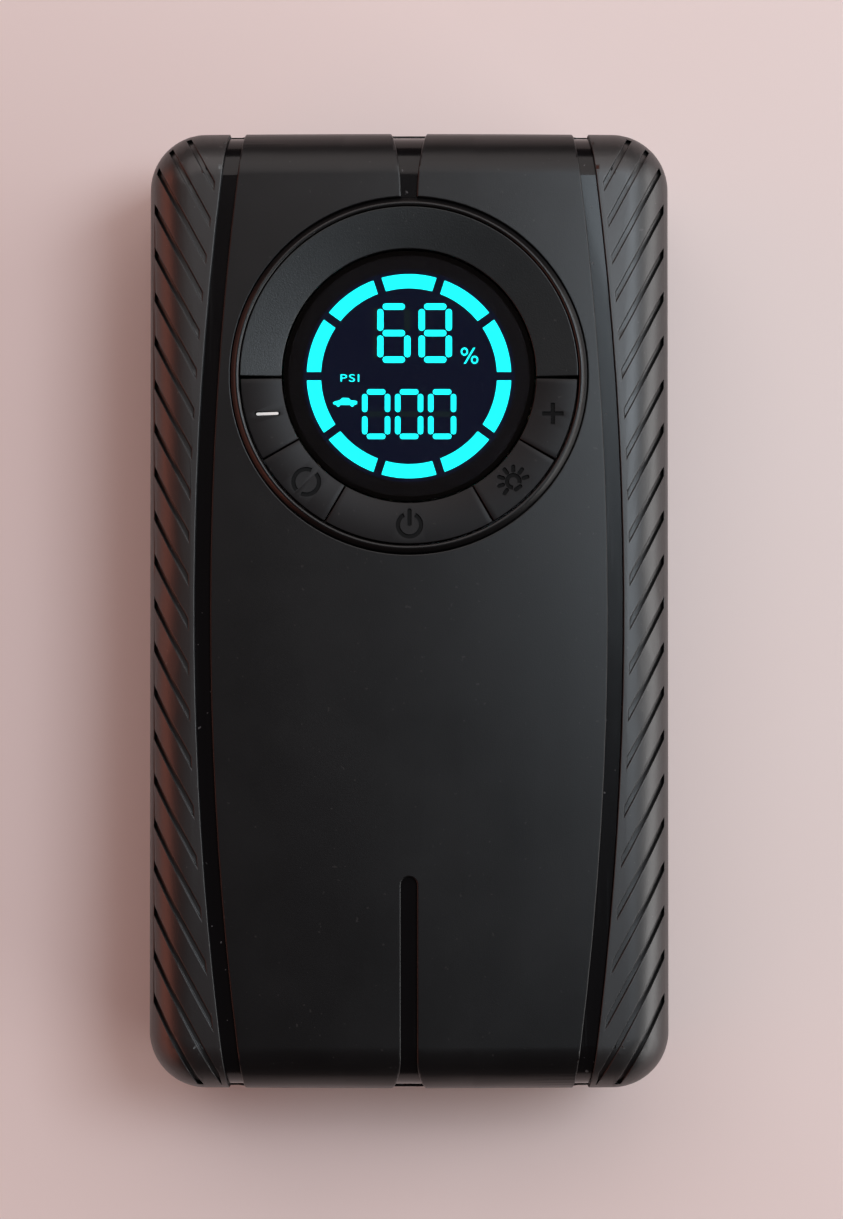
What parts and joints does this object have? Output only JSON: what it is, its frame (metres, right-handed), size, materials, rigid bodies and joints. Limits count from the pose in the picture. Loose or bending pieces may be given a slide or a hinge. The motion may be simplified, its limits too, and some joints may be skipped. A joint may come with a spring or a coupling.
{
  "type": "jump starter pack",
  "caption": "Hand-held jump starter pack with tyre pump, round lit gauge, ring of keys, tread-grooved grips, lamp and covered sockets.",
  "frame": {"origin": "on the ground under the middle of the pack, which lies on its back", "axes": "+Y towards the display end, +Z out of the front panel, +X to the right seen from the front"},
  "size_m": [0.105, 0.1938, 0.0466],
  "materials": {
    "shell_plastic": "fine spark texture",
    "inner_gloss": "polished black",
    "key_plastic": "satin black",
    "grip_rubber": "soft matte",
    "cover_rubber": "matte",
    "silicone": "translucent grey",
    "smoke_window": "polished smoke tint",
    "clear_lens": "clear",
    "display_face": "black mask",
    "reflector_white": "bright",
    "circuit_board": "solder resist",
    "component_body": "moulded",
    "cell_wrap": "foil pouch",
    "strap_steel": "stamped",
    "lead_jacket": "silicone jacket",
    "socket_blue": "moulded",
    "steel": "plated",
    "brass": "turned",
    "nylon": "moulded",
    "die_cast": "cast"
  },
  "bodies": {
    "housing": {"rear_shell": "shell_plastic", "front_shell": "inner_gloss", "front_panel": "shell_plastic", "left_grip": "grip_rubber", "right_grip": "grip_rubber", "left_trim_strip": "inner_gloss", "right_trim_strip": "inner_gloss", "top_slot_strip": "inner_gloss", "bottom_slot_strip": "inner_gloss", "bezel_ring": "shell_plastic", "dial_crescent": "shell_plastic", "display_window": "smoke_window", "display_module": "display_face", "display_board": "circuit_board", "key_mat": "silicone", "tact_switches": "steel", "main_board": "circuit_board", "main_board_parts": "component_body", "battery_cells": "cell_wrap", "battery_straps": "strap_steel", "battery_leads": "lead_jacket", "motor_can": "steel", "drive_pinion": "steel", "crank_gear": "nylon", "gear_axle": "steel", "crank_pin": "steel", "piston_rod": "nylon", "pump_piston": "nylon", "pump_cylinder": "die_cast", "cylinder_head": "die_cast", "pump_frame": "die_cast", "air_tube": "silicone", "air_socket": "brass", "top_fascia": "inner_gloss", "bottom_fascia": "inner_gloss", "flashlight_lens": "clear_lens", "flashlight_reflector": "reflector_white", "flashlight_board": "circuit_board", "jump_socket": "socket_blue", "jump_contacts": "brass", "jump_cover_tab": "cover_rubber", "usb_a_socket": "steel", "usb_c_socket": "steel", "usb_board": "circuit_board", "usb_cover_tab": "cover_rubber", "housing_screws": "steel", "board_screws": "steel", "rubber_feet": "cover_rubber"},
    "minus_button_body": {"minus_button": "key_plastic"},
    "mode_button_body": {"mode_button": "key_plastic"},
    "power_button_body": {"power_button": "key_plastic"},
    "light_button_body": {"light_button": "key_plastic"},
    "plus_button_body": {"plus_button": "key_plastic"},
    "jump_cover_body": {"jump_cover": "cover_rubber"},
    "usb_cover_body": {"usb_cover": "cover_rubber"}
  },
  "joints": [
    {"name": "minus_button_press", "type": "slide", "parent": "housing", "child": "minus_button_body", "axis": [0, 0, -1], "range_m": [0, 0.0006], "stiffness_N_per_m": 400},
    {"name": "mode_button_press", "type": "slide", "parent": "housing", "child": "mode_button_body", "axis": [0, 0, -1], "range_m": [0, 0.0006], "stiffness_N_per_m": 400},
    {"name": "power_button_press", "type": "slide", "parent": "housing", "child": "power_button_body", "axis": [0, 0, -1], "range_m": [0, 0.0006], "stiffness_N_per_m": 400},
    {"name": "light_button_press", "type": "slide", "parent": "housing", "child": "light_button_body", "axis": [0, 0, -1], "range_m": [0, 0.0006], "stiffness_N_per_m": 400},
    {"name": "plus_button_press", "type": "slide", "parent": "housing", "child": "plus_button_body", "axis": [0, 0, -1], "range_m": [0, 0.0006], "stiffness_N_per_m": 400},
    {"name": "jump_cover_hinge", "type": "hinge", "parent": "housing", "child": "jump_cover_body", "pos_m": [-0.017, -0.0968, 0.0109], "axis": [1, 0, 0], "range_deg": [0, 110]},
    {"name": "usb_cover_hinge", "type": "hinge", "parent": "housing", "child": "usb_cover_body", "pos_m": [0.017, -0.0968, 0.0109], "axis": [1, 0, 0], "range_deg": [0, 110]}
  ]
}
